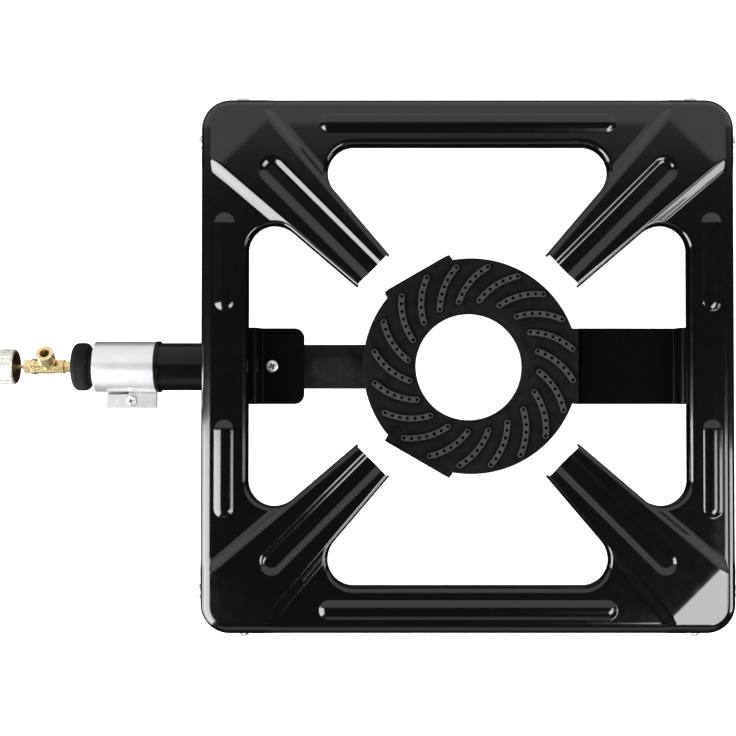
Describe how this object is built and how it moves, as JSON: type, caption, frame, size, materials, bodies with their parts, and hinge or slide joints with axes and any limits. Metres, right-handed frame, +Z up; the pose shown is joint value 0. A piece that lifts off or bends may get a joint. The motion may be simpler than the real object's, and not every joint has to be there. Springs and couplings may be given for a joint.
{
  "type": "gas stockpot burner",
  "caption": "Square pressed-steel stand with diagonal pot arms round a cast ring gas burner, fed by a mixing tube with an air sleeve, brass valve and knob at one side.",
  "frame": {"origin": "floor level under the middle of the whole footprint, knob to right rail", "axes": "+Z up, -X towards the knob along the mixing tube, +Y to the rear of the stand"},
  "size_m": [0.5662, 0.4076, 0.16],
  "materials": {
    "black_enamel": "gloss",
    "satin_black": "satin",
    "cast_iron": "matte",
    "zinc": "satin",
    "brass": "satin",
    "rubber": "matte",
    "nickel": "satin"
  },
  "bodies": {
    "stove": {"top_frame": "black_enamel", "leg_front_left": "black_enamel", "leg_front_right": "black_enamel", "leg_rear_left": "black_enamel", "leg_rear_right": "black_enamel", "inlet_strap": "satin_black", "burner_strap": "satin_black", "mixing_tube": "satin_black", "burner_cap": "cast_iron", "burner_bowl": "cast_iron", "mixer_head": "cast_iron", "leg_screws": "zinc", "leg_nuts": "zinc", "neck_screw": "zinc", "strap_screws": "zinc", "cap_screws": "zinc", "injector": "brass", "valve_body": "brass", "gland_nut": "brass"},
    "shutter": {"air_shutter": "zinc", "shutter_screw": "zinc", "shutter_nut": "zinc"},
    "seal": {"spindle_seal": "rubber"},
    "spindle": {"valve_spindle": "brass", "control_knob": "nickel", "knob_screw": "zinc"}
  },
  "joints": [
    {"name": "air_shutter_slide", "type": "slide", "parent": "stove", "child": "shutter", "axis": [-1, 0, 0], "range_m": [0, 0.0042]},
    {"name": "spindle_travel", "type": "slide", "parent": "stove", "child": "seal", "axis": [-1, 0, 0], "range_m": [0, 0.00151]},
    {"name": "knob_turn", "type": "hinge", "parent": "seal", "child": "spindle", "pos_m": [-0.277, 0, 0.1052], "axis": [-1, 0, 0], "range_deg": [0, 540]}
  ],
  "couplings": [
    {"joint": "spindle_travel", "follows": "knob_turn", "m_per_rad": 0.00015915}
  ]
}
